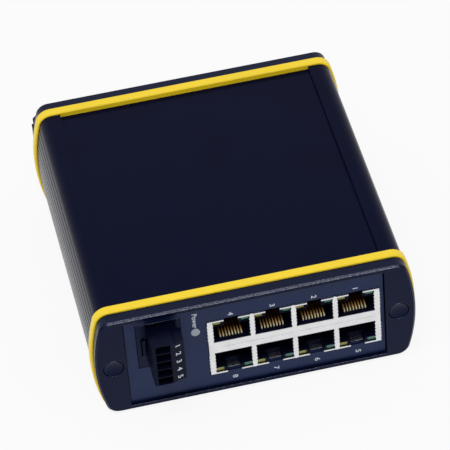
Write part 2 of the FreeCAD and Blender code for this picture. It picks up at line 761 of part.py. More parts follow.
# ---------------------------------------------------------------- boards
def make_boards():
    board = box("board_blank", centred("0", BOARD_HALF),
                (f"{CASE_FRONT} + fit_gap", f"{CASE_REAR} - fit_gap"), (BOARD_LOW, BOARD_HIGH))
    notch = box("board_notch", (f"-{BOARD_HALF} - 1", f"{HEADER_RIGHT} + notch_clear"),
                ("0", "notch_rear"), (f"{BOARD_LOW} - 1", f"{BOARD_HIGH} + 1"))
    finish("main_board", cut("main_board", board, [notch]))
    power = box("power_board_blank", (f"{POWER_BOARD_X} - board_thickness", POWER_BOARD_X),
                (f"{CASE_FRONT} + 3 * fit_gap", "notch_rear - fit_gap"),
                ("power_board_low", "power_board_high"))
    holes = [pin_rod(way, "fit_gap / 2", True) for way in range(count("ways"))]
    finish("power_board", cut("power_board", power, holes))
    link = box("board_link", (POWER_BOARD_X, f"{POWER_BOARD_X} + link_width"),
               ("notch_rear - link_reach", "notch_rear + link_reach"),
               (f"{BOARD_LOW} - link_width", BOARD_LOW))
    finish("board_link", link)


def make_board_parts():
    blocks = []
    for column in range(count("port_columns")):
        x = f"{JACK_X} + ({column} - (port_columns - 1) / 2) * port_pitch"
        blocks.append(box(f"transformer_{column}", centred(x, "transformer_width / 2"),
                          (TRANSFORMER_Y, f"{TRANSFORMER_Y} + transformer_length"),
                          (f"{BOARD_LOW} - transformer_height", BOARD_LOW)))
    finish("port_transformers", group("port_transformers", blocks))
    leads = box("chip_leads", centred(JACK_X, "chip_side / 2 + lead_span"),
                centred(CHIP_Y, "chip_side / 2 + lead_span"),
                (f"{BOARD_LOW} - lead_thickness", BOARD_LOW))
    moulding = box("chip_moulding", centred(JACK_X, "chip_side / 2"),
                   centred(CHIP_Y, "chip_side / 2"), (f"{BOARD_LOW} - chip_height", BOARD_LOW))
    finish("switch_chip", fuse("switch_chip", [leads, moulding]))
    finish("clock_crystal", box("clock_crystal", centred(CRYSTAL_X, "crystal_length / 2"),
                                centred(f"{CHIP_Y} - crystal_setback", "crystal_width / 2"),
                                (f"{BOARD_LOW} - crystal_height", BOARD_LOW)))
    cans = []
    for number in range(2):
        near = f"notch_rear + capacitor_gap + {number} * (capacitor_base + capacitor_space)"
        y = f"({near} + capacitor_base / 2)"
        body = rod(f"capacitor_can_{number}", "Z", "capacitor_radius",
                   (CAN_X, y, f"{BOARD_LOW} - capacitor_height"), "capacitor_height",
                   LARGE_SIDES)
        foot = box(f"capacitor_foot_{number}", centred(CAN_X, "capacitor_base / 2"),
                   centred(y, "capacitor_base / 2"), (f"{BOARD_LOW} - ledge_thickness", BOARD_LOW))
        cans.append(fuse(f"capacitor_{number}", [body, foot]))
    finish("board_capacitors", group("board_capacitors", cans))
    regulator_y = "(notch_rear + regulator_gap)"
    tab = box("regulator_tab", centred(REGULATOR_X, "regulator_width / 2"),
              (regulator_y, f"{regulator_y} + regulator_length + lead_span"),
              (f"{BOARD_LOW} - lead_thickness", BOARD_LOW))
    package = box("regulator_package", centred(REGULATOR_X, "regulator_width / 2"),
                  (regulator_y, f"{regulator_y} + regulator_length"),
                  (f"{BOARD_LOW} - regulator_height", BOARD_LOW))
    finish("power_regulator", fuse("power_regulator", [tab, package]))
    coil_y = "header_rear + inductor_gap + inductor_side / 2"
    finish("power_inductor", box("power_inductor",
                                 (POWER_BOARD_X, f"{POWER_BOARD_X} + inductor_height"),
                                 centred(coil_y, "inductor_side / 2"),
                                 centred("inductor_z", "inductor_side / 2")))


def make_power_lamp():
    front = "panel_recess - lens_proud"
    pipe = rod("lens_pipe", "Y", "lens_radius", (POWER_LAMP_X, front, "power_lamp_z"),
               "lens_length")
    finish("power_lamp_lens", pipe)
    rear = f"({front} + lens_length)"
    finish("power_lamp", box("power_lamp", centred(POWER_LAMP_X, "lamp_body / 2"),
                             (rear, f"{rear} + lamp_length"),
                             ("power_lamp_z - lamp_body / 2", BOARD_LOW)))


# ---------------------------------------------------------------- power terminal
def way_z(way):
    return f"(terminal_z + ({way} - (ways - 1) / 2) * terminal_pitch)"


def pin_rod(way, grow, tail_only=False):
    """One bent header pin: forward into the plug, and sideways through the upright board."""
    half = f"(pin_side / 2 + {grow})"
    bend = "(header_rear + pin_tail)"
    tail = box(f"pin_tail_{way}", (f"{POWER_BOARD_X} - board_thickness - pin_side",
                                   f"{SOCKET_X} + {half}"),
               centred(f"{bend} - pin_side / 2", half), centred(way_z(way), half))
    if tail_only:
        return tail
    stem = box(f"pin_stem_{way}", centred(SOCKET_X, half),
               ("pin_front", f"{bend} - pin_side / 2 + {half}"), centred(way_z(way), half))
    return fuse(f"pin_{way}", [stem, tail])


def make_header():
    """The board's half of the terminal: a flush collar, the plug's socket and a lock lever."""
    z = centred("terminal_z", "header_half_height")
    neck = box("header_neck", (HEADER_LEFT, HEADER_RIGHT), (HEADER_FACE, f"{PANEL_REAR} + 1"), z)
    rear = box("header_rear_body", (POWER_BOARD_X, HEADER_RIGHT),
               (f"{PANEL_REAR} + fit_gap", "header_rear"), z)
    slot_left = f"{HEADER_LEFT} + slot_inset"
    cuts = [
        box("header_socket", centred(SOCKET_X, "socket_half_width + plug_gap"),
            (f"{HEADER_FACE} - 1", "header_rear - header_floor"),
            centred("terminal_z", "socket_half_height")),
        box("lever_slot", (slot_left, f"{slot_left} + slot_width"),
            (f"{HEADER_FACE} - 1", f"{HEADER_FACE} + slot_depth"),
            ("slot_low", "slot_low + slot_height")),
    ]
    cuts += [pin_rod(way, "fit_gap / 2") for way in range(count("ways"))]
    shell = cut("header_shell", fuse("header_body", [neck, rear]), cuts)
    lever = box("lock_lever", (f"{slot_left} + lever_gap", f"{slot_left} + slot_width - lever_gap"),
                (f"{HEADER_FACE} - lever_proud", f"{HEADER_FACE} + slot_depth + 0.01"),
                ("slot_low + lever_foot", "slot_low + slot_height - lever_gap"))
    finish("terminal_header", fuse("terminal_header", [shell, lever]))
    finish("header_pins", group("header_pins", [pin_rod(way, "0")
                                                for way in range(count("ways"))]))


def wire_mouth(way, middle):
    """A funnel that leads a wire into its way."""
    mouth = doc.addObject("Part::Wedge", f"wire_mouth_{way}")
    left, right = "-entry_width / 2", "entry_width / 2"
    for prop, size in (("Ymin", "0"), ("Ymax", "mouth_depth"),
                       ("Xmin", left), ("Xmax", f"{left} + mouth_width"),
                       ("Zmin", "-mouth_height / 2"), ("Zmax", "mouth_height / 2"),
                       ("X2min", left), ("X2max", right),
                       ("Z2min", "-entry_height / 2"), ("Z2max", "entry_height / 2")):
        bind(mouth, prop, size)
    for letter, place in zip("xyz", (SOCKET_X, "-plug_proud", middle)):
        bind(mouth, "Placement.Base." + letter, place)
    return mouth


def make_plug():
    """The pluggable block: wire mouths beside a sloped marking strip, and a cage per way."""
    z = centred("terminal_z", "plug_half_height")
    front = box("plug_front", (PLUG_LEFT, PLUG_RIGHT),
                ("-plug_proud", f"{HEADER_FACE} - plug_gap"), z)
    insert = box("plug_insert", centred(SOCKET_X, "socket_half_width"),
                 ("0", "header_rear - header_floor - plug_gap"), z)
    cuts = [shaped("strip_slope", [strip_slope()])]
    for sign in (-1, 1):
        surface = f"terminal_z + {sign} * plug_half_height"
        cuts.append(box("plug_seam_cut", centred(f"{PLUG_RIGHT} - seam_inset", "plug_seam / 2"),
                        ("-plug_proud - 1", "-shoulder_start"), centred(surface, "plug_seam")))
        cuts.append(box("plug_shoulder_cut", (f"{PLUG_LEFT} - 1", f"{PLUG_RIGHT} + 1"),
                        ("-shoulder_start", f"{HEADER_FACE} + 1"),
                        centred(surface, "shoulder_drop")))
    cuts.append(box("plug_flank_cut", (f"{PLUG_RIGHT} - shoulder_inset", f"{PLUG_RIGHT} + 1"),
                    ("-shoulder_start", f"{HEADER_FACE} + 1"),
                    centred("terminal_z", "plug_half_height + 1")))
    cages, screws = [], []
    for way in range(count("ways")):
        middle = way_z(way)
        cuts.append(wire_mouth(way, middle))
        cuts.append(box(f"wire_entry_{way}", centred(SOCKET_X, "entry_width / 2"),
                        ("mouth_depth - plug_proud - 0.01", "header_rear"),
                        centred(middle, "entry_height / 2")))
        cuts.append(rod(f"screw_well_{way}", "X", "clamp_screw_radius + fit_gap",
                        (SOCKET_X, CLAMP_Y, middle), f"{PLUG_RIGHT} - {SOCKET_X} + 1",
                        SMALL_SIDES))
        cages.append(make_cage(way, middle))
        screws.append(make_clamp_screw(way, middle))
    finish("terminal_plug", cut("terminal_plug", fuse("plug_body", [front, insert]), cuts))
    finish("wire_cages", group("wire_cages", cages))
    finish("clamp_screws", group("clamp_screws", screws))


def strip_slope():
    """What is cut away to slope the marking strip back towards the plug's far side."""
    left, right = value(STRIP_LEFT), value(PLUG_RIGHT)
    face, slope = -value("plug_proud"), value("plug_chamfer")
    half = value("plug_half_height") + 1
    middle = value("terminal_z")
    past = right + 1
    corner = [(left, face), (left, face - 1), (past, face - 1),
              (past, face + slope * (past - left) / (right - left))]
    return prism("strip_slope", corner, (middle - half, middle + half), "Z")


def make_cage(way, middle):
    """A square wire cage with a two-leaf tail that grips the header's pin."""
    half_x = "(entry_width / 2 - fit_gap)"
    half_z = "(entry_height / 2 - fit_gap)"
    tube = box(f"cage_tube_{way}", centred(SOCKET_X, half_x),
               (CAGE_FRONT, f"{CAGE_FRONT} + cage_length"), centred(middle, half_z))
    leaves = []
    for sign in (-1, 1):
        near = "(pin_side / 2 + fit_gap / 2)"
        far = f"({near} + cage_wall)"
        span = (near, far) if sign > 0 else (f"-{far}", f"-{near}")
        leaves.append(box(f"cage_leaf_{way}", (f"{SOCKET_X} + {span[0]}", f"{SOCKET_X} + {span[1]}"),
                          (f"{CAGE_FRONT} + cage_length - 0.01", "pin_front + 4 * pin_side"),
                          centred(middle, half_z)))
    wire = box(f"cage_wire_{way}", centred(SOCKET_X, f"{half_x} - cage_wall"),
               (f"{CAGE_FRONT} - 1", f"{CAGE_FRONT} + cage_length - cage_wall"),
               centred(middle, f"{half_z} - cage_wall"))
    thread = rod(f"cage_thread_{way}", "X", "clamp_screw_radius + fit_gap / 2",
                 (SOCKET_X, CLAMP_Y, middle), "entry_width", SMALL_SIDES)
    return cut(f"cage_{way}", fuse(f"cage_body_{way}", [tube] + leaves), [wire, thread])


def make_clamp_screw(way, middle):
    """A slotted set screw from just inside the plug's flank to the middle of the cage."""
    tip = f"({SOCKET_X} + entry_width / 4)"
    top = f"({PLUG_RIGHT} - clamp_screw_sink)"
    shank = rod(f"clamp_shank_{way}", "X", "clamp_screw_radius", (tip, CLAMP_Y, middle),
                f"{top} - {tip}", SMALL_SIDES)
    slot = box(f"clamp_slot_{way}", (f"{top} - clamp_screw_radius / 2", f"{top} + 1"),
               centred(CLAMP_Y, "clamp_screw_radius + 1"),
               centred(middle, "clamp_screw_radius / 5"))
    return cut(f"clamp_screw_{way}", shank, [slot])


# ---------------------------------------------------------------- rail clip
def clip_screw_places():
    return [("-clip_screw_x", "0"), ("clip_screw_x", "0")]


def make_clip_base():
    plate = box("clip_plate", (CLIP_LEFT, "clip_right"), ("case_length", CLIP_BACK),
                centred("0", "clip_half_width"))
    hook = box("hook_wall_block", (HOOK_X, f"{HOOK_X} + hook_wall"), ("case_length", HOOK_BACK),
               centred("0", "clip_half_width"))
    lip = box("hook_lip", (f"{HOOK_X} - hook_reach", f"{HOOK_X} + hook_wall"),
              (f"{CLIP_BACK} + rail_lip", HOOK_BACK), centred("0", "clip_half_width"))
    half = "(latch_half_width + latch_gap)"
    channel = box("latch_channel", (f"{CLIP_LEFT} - 1", CHANNEL_RIGHT),
                  ("case_length + channel_floor", f"{CLIP_BACK} + 1"), centred("0", half))
    track = box("latch_track", (f"{CLIP_LEFT} - 1", CHANNEL_RIGHT),
                (f"{LATCH_LOW} + tongue_height - latch_gap",
                 f"{LATCH_LOW} + 2 * tongue_height + latch_gap"),
                centred("0", f"{half} + tongue"))
    cuts = [channel, track]
    for sign in (-1, 1):
        corner = doc.addObject("Part::Wedge", "clip_corner_cut")
        for prop, value in (("Xmin", "0"), ("Ymin", "0"), ("Zmin", "0"), ("X2min", "0"),
                            ("Z2min", "0"), ("Xmax", "clip_corner"), ("Ymax", "clip_corner"),
                            ("Zmax", "clip_thickness + 2"), ("X2max", "0"),
                            ("Z2max", "clip_thickness + 2")):
            bind(corner, prop, value)
        corner.Placement = FreeCAD.Placement(Vector(), Rotation(Vector(1, 0, 0), sign * 90))
        bind(corner, "Placement.Base.x", CLIP_LEFT)
        bind(corner, "Placement.Base.z", f"{-sign} * clip_half_width")
        edge = "case_length + clip_thickness + 1" if sign > 0 else "case_length - 1"
        bind(corner, "Placement.Base.y", edge)
        cuts.append(corner)
    for number, (x, z) in enumerate(clip_screw_places()):
        cuts.append(rod(f"clip_bore_{number}", "Y", "clip_screw_radius + fit_gap",
                        (x, "case_length - 1", z), "clip_thickness + 2", SMALL_SIDES))
        cuts.append(rod(f"clip_head_bore_{number}", "Y", "clip_screw_head + fit_gap",
                        (x, f"{CLIP_BACK} - clip_screw_head_height - fit_gap", z),
                        "clip_screw_head_height + 1", LARGE_SIDES))
    blank = cut("clip_blank", fuse("clip_solid", [plate, hook, lip]), cuts)
    post = box("spring_post", (f"{SPRING_SLOT_LEFT} + latch_gap",
                               f"{SPRING_SLOT_LEFT} + latch_gap + post_length"),
               ("case_length + channel_floor - 0.01", LATCH_HIGH),
               centred("0", "spring_slot_half - latch_gap"))
    finish("clip_base", fuse("clip_base", [blank, post]))


def make_latch():
    """The sprung half of the clip: a sliding plate with a catch at one end and a pull at the other."""
    wall_x = f"(-{HOOK_X})"
    plate = box("latch_plate", (LATCH_LEFT, wall_x), (LATCH_LOW, LATCH_HIGH),
                centred("0", "latch_half_width"))
    tongues = box("latch_tongues", (f"{CLIP_LEFT} + clip_corner", wall_x),
                  (f"{LATCH_LOW} + tongue_height", f"{LATCH_LOW} + 2 * tongue_height"),
                  centred("0", "latch_half_width + tongue"))
    catch = box("catch_wall", (f"{wall_x} - hook_wall", wall_x), (LATCH_LOW, HOOK_BACK),
                centred("0", "latch_half_width"))
    doc.recompute()
    inner = catch.Placement.Base.x + catch.Length.Value
    back = catch.Placement.Base.y + catch.Width.Value
    lip_low = back - value("hook_height") + value("rail_lip")
    reach = value("hook_reach")
    half = catch.Height.Value / 2
    nose = [(inner - 0.01, lip_low), (inner + reach, lip_low),
            (inner + reach, lip_low + reach / 2), (inner - 0.01, back)]
    lip = shaped("catch_nose", [prism("catch_nose", nose, (-half, half), "Z")])
    cuts = [
        box("spring_window", (SPRING_SLOT_LEFT, SPRING_SLOT_RIGHT),
            (f"{LATCH_LOW} - 1", f"{LATCH_HIGH} + 1"), centred("0", "spring_slot_half")),
        box("pull_slot", (f"{LATCH_LEFT} + pull_inset", f"{LATCH_LEFT} + pull_inset + pull_width"),
            (f"{LATCH_LOW} - 1", f"{LATCH_HIGH} + 1"), centred("0", "latch_half_width / 2")),
    ]
    solid = fuse("latch_solid", [plate, tongues, catch, lip])
    finish("rail_latch", cut("rail_latch", solid, cuts))


def make_latch_spring():
    """A coil spring between the base's post and the far end of the latch's window."""
    start = f"({SPRING_SLOT_LEFT} + latch_gap + post_length + spring_wire / 2)"
    end = f"({SPRING_SLOT_RIGHT} - spring_wire / 2)"
    wire = doc.addObject("Part::RegularPolygon", "spring_wire_section")
    wire.Polygon = 4
    wire.Placement = FreeCAD.Placement(Vector(), Rotation(Vector(1, 0, 0), 90))
    bind(wire, "Circumradius", "spring_wire / 2")
    bind(wire, "Placement.Base.x", "spring_radius")
    path = doc.addObject("Part::Helix", "spring_path")
    for prop, value in (("Radius", "spring_radius"), ("Height", f"{end} - {start}"),
                        ("Pitch", f"({end} - {start}) / spring_turns")):
        bind(path, prop, value)
    sweep = doc.addObject("Part::Sweep", "spring_sweep")
    sweep.Sections = [wire]
    sweep.Spine = (path, ["Edge1"])
    sweep.Solid = True
    sweep.Frenet = True
    sweep.Placement = FreeCAD.Placement(Vector(), TURN["X"])
    bind(sweep, "Placement.Base.x", start)
    bind(sweep, "Placement.Base.y", f"({LATCH_LOW} + {LATCH_HIGH}) / 2")
    finish("latch_spring", group("latch_spring", [sweep]))


def make_clip_screws():
    screws = []
    seat = f"({CLIP_BACK} - clip_screw_head_height - fit_gap)"
    for number, (x, z) in enumerate(clip_screw_places()):
        head = rod(f"clip_screw_head_{number}", "Y", "clip_screw_head", (x, seat, z),
                   "clip_screw_head_height", LARGE_SIDES)
        low = "(case_length - rear_wall)"
        shank = rod(f"clip_screw_shank_{number}", "Y", "clip_screw_radius", (x, low, z),
                    f"{seat} - {low}", SMALL_SIDES)
        drive = rod(f"clip_screw_drive_{number}", "Y", "clip_screw_radius",
                    (x, f"{seat} + clip_screw_head_height / 2", z), "clip_screw_head_height", 6)
        screws.append(cut(f"clip_screw_{number}", fuse(f"clip_screw_body_{number}", [head, shank]),
                          [drive]))
    finish("clip_screws", group("clip_screws", screws))


# ---------------------------------------------------------------- assembly
def make_part():
    make_case()
    make_cover()
    make_ring("front_ring", "cap_flange", CASE_FRONT)
    make_ring("rear_ring", CASE_REAR, "case_length - cap_flange")
    make_front_cap()
    make_rear_cap()
    make_blanks_and_screws("front", "0", 1)
    make_blanks_and_screws("rear", "case_length", -1)
    make_front_panel()
    make_jack_shield()
    make_contacts(make_jack_insulator())
    make_boards()
    make_board_parts()
    make_power_lamp()
    make_header()
    make_plug()
    make_clip_base()
    make_latch()
    make_latch_spring()
    make_clip_screws()
    doc.recompute()


def check_part():
    """Stop before writing anything if a feature failed or a finished piece is not sound."""
    for item in doc.Objects:
        if "Invalid" in item.State or "Error" in item.State:
            raise RuntimeError(f"{item.Label} did not build: {item.State}")
    for item in finished:
        if item.Shape.isNull() or not item.Shape.isValid() or not item.Shape.Solids:
            raise RuntimeError(f"{item.Label} is not a sound solid")


def write_part():
    os.makedirs("parts", exist_ok=True)
    for item in finished:
        item.Shape.exportStep(os.path.join("parts", item.Label + ".step"))
        print(f"{item.Label}: {len(item.Shape.Solids)} solids, {item.Shape.Volume:.1f} mm3")


make_part()
check_part()
write_part()
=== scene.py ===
"""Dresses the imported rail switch: finishes on every piece, its printed figures, and a stage."""

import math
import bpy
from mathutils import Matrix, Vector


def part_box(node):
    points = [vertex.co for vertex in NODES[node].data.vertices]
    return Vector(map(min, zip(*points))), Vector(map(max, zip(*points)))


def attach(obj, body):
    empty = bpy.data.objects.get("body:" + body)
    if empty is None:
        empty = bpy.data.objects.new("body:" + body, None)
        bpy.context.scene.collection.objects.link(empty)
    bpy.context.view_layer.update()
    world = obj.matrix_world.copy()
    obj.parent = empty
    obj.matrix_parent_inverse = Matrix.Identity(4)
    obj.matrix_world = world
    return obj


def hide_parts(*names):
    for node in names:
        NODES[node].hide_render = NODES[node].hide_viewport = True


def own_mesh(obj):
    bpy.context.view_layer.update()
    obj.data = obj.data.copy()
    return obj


bl_info = {
    "name": "Rail switch dressing",
    "version": (1, 0, 0),
    "blender": (4, 5, 0),
    "location": "View3D > Sidebar > Rail switch",
    "description": "Finishes, printed figures and stage for a DIN-rail network switch",
    "category": "Object",
}

import bmesh
import bpy
from bpy.props import FloatProperty, FloatVectorProperty, PointerProperty
from mathutils import Euler, Matrix, Vector

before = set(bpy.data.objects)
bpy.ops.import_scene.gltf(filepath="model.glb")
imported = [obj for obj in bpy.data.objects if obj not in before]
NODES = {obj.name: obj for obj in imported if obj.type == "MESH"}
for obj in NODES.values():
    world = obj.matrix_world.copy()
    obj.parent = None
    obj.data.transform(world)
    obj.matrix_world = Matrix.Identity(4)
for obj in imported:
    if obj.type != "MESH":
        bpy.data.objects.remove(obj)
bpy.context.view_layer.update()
MM = 0.001

# Coatings: depth of fine relief, and the pale highlight painted, in fine specks, along the caps'
# bevels.
GRAIN_DEPTH = 0.02 * MM
BEVEL_HIGHLIGHT_COLOUR = (0.80, 0.80, 0.94)
BEVEL_HIGHLIGHT_SPECK_SCALE = 2200
# The bevel's slant peaks at 0.385, so this gain brings its peak to 1; the power narrows it.
BEVEL_HIGHLIGHT_GAIN = 2.6
BEVEL_HIGHLIGHT_POWER = 20.0

# Print: share of the type's size that a figure's height takes, and how far the port
# numbers and the lamp's word stand from the middle of the jacks and of the lens.
FIGURE_SHARE = 0.70
UPPER_NUMBERS = 13.65 * MM
LOWER_NUMBERS = 15.3 * MM
WORD_RISE = 5.0 * MM

# Screw blanks: the dish's profile, as share of the disc's radius and depth below the rim.
DISH = ((0.06, 0.42 * MM), (0.35, 0.38 * MM), (0.62, 0.27 * MM), (0.82, 0.12 * MM),
        (0.90, 0.02 * MM), (0.94, 0.0), (0.965, 0.06 * MM))
DISH_STEPS = 48

# Jacks: the ports' spacing, the shield's sheet-metal bars, the nibs along them, and the depth
# over which the contacts' painted highlight fades into painted shade.
PORT_COLUMNS = 4
PORT_PITCH = 13.97 * MM
SHIELD_BAR = 2.4 * MM
SHIELD_UPRIGHT = 1.47 * MM
SHIELD_END = 1.75 * MM
NIB_THICK = 0.25 * MM
NIB_STEPS = 8
NIBS_A_PORT = 5
CONTACT_SHADE_LENGTH = 6 * MM

# Terminal: its ways, and the sloped corner of the plug that carries their numbers.
WAYS = 5
WAY_PITCH = 3.5 * MM
PLUG_SLOPE_WIDTH = 4.5 * MM
PLUG_SLOPE_DEPTH = 1.4 * MM

# Latch spring.
SPRING_WIRE = 0.5 * MM
OPEN_TURNS = 5.0
CLOSED_TURNS = 0.75
STEPS_A_TURN = 24

# Stage. The pale background is seen directly, and in gloss and clear mouldings.
SEEN_RAYS = ("Is Camera Ray", "Is Glossy Ray", "Is Transmission Ray")
FLOOR_REACH = 6.0
FLOOR_COLOUR = (0.92, 0.92, 0.92, 1)
FLOOR_GLOW = 0.975
FLOOR_GLOW_SHARE = 0.92
FILL_COLOUR = (0.93, 0.96, 1.0, 1)
WHITE = (1, 1, 1, 1)
LAMP_PLACE = Vector((-0.35, -0.55, 1.9))
LAMP_AIM = Vector((0, 0, 0.02))
LAMP_SIZE = 0.8
CAMERA_PLACE = (-0.13421, -0.81705, 0.79307)
CAMERA_TURN = (46.9467, 3.5240, -12.7509)


def box_of(node):
    """A node's low and high corners."""
    low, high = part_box(node)
    return Vector(low), Vector(high)


def placed(name, data):
    """A new object in the scene, holding the data given."""
    piece = bpy.data.objects.new(name, data)
    bpy.context.scene.collection.objects.link(piece)
    return piece


def mesh_data(name, mesh, material):
    """A finished mesh in one material."""
    data = bpy.data.meshes.new(name)
    bmesh.ops.recalc_face_normals(mesh, faces=mesh.faces)
    mesh.to_mesh(data)
    mesh.free()
    data.materials.append(material)
    return data


def empty_tree(owner):
    """The node tree of a material or a world, cleared."""
    owner.use_nodes = True
    owner.node_tree.nodes.clear()
    return owner.node_tree


# ---------------------------------------------------------------- settings
def colour(name, value, words):
    """A colour that a user may change."""
    return FloatVectorProperty(name=name, description=words, default=value, size=3,
                               min=0.0, max=1.0, subtype="COLOR")


def length(name, value, words):
    """A length that a user may change."""
    return FloatProperty(name=name, description=words, default=value, unit="LENGTH")


class RailSwitchFinish(bpy.types.PropertyGroup):
    """Colours of the coatings, mouldings and metals"""
    case: colour("Case", (0.0012, 0.0018, 0.0135), "Anodised extrusion and cover")
    ring: colour("Trim rings", (0.95, 0.67, 0.012), "Moulded trim rings")
    cap: colour("End caps", (0.0016, 0.0024, 0.0130), "Moulded end caps and screw blanks")
    panel: colour("Front panel", (0.0042, 0.0078, 0.0280), "Inset front panel")
    moulding: colour("Black mouldings", (0.0018, 0.0024, 0.0095), "Terminal, jacks and rail clip")
    sheen: colour("Sheen", (0.28, 0.42, 1.0), "Cool sheen of the dark coatings")
    shield: colour("Jack shield", (0.76, 0.76, 0.77), "Plated jack shield")
    contact: colour("Contacts", (0.92, 0.50, 0.15), "Gold-plated contacts")
    yellow_pipe: colour("Yellow light pipes", (0.38, 0.35, 0.085), "Left-hand port lamps")
    green_pipe: colour("Green light pipes", (0.10, 0.25, 0.19), "Right-hand port lamps")
    print_ink: colour("Print", (0.62, 0.65, 0.72), "Figures printed on the panel and plug")


class RailSwitchPrint(bpy.types.PropertyGroup):
    """Sizes of the printed figures"""
    port_figure: length("Port figure", 1.75 * MM, "Height of a port's number")
    way_figure: length("Way figure", 1.8 * MM, "Height of a terminal way's number")
    figure_width: FloatProperty(name="Figure width", default=1.15,
                                description="Width of the numbers, as a share of the type's own")
    stroke: length("Stroke", 0.025 * MM, "How far each figure's outline is thickened")
    word: length("Lamp word", 1.7 * MM, "Height of the power lamp's word")
    ink: length("Ink thickness", 0.03 * MM, "How far print stands off its surface")


class RailSwitchFingers(bpy.types.PropertyGroup):
    """Sizes of the contact nibs on the jack shield"""
    pitch: length("Finger pitch", 1.5 * MM, "Spacing of the shield's contact nibs")
    proud: length("Finger reach", 0.20 * MM, "How far a nib bulges past its edge")
    half: length("Finger half-length", 0.5 * MM, "Half of a nib's length")


class RailSwitchStage(bpy.types.PropertyGroup):
    """Camera lens and light"""
    lens: FloatProperty(name="Lens", description="Camera focal length in millimetres",
                        default=266.15)
    key: FloatProperty(name="Key light", description="Power of the soft overhead light",
                       default=14.0, unit="POWER")
    fill: FloatProperty(name="Fill", description="Strength of the even surrounding light",
                        default=0.66)


def finish():
    """The colours in use."""
    return bpy.context.scene.rail_switch_finish


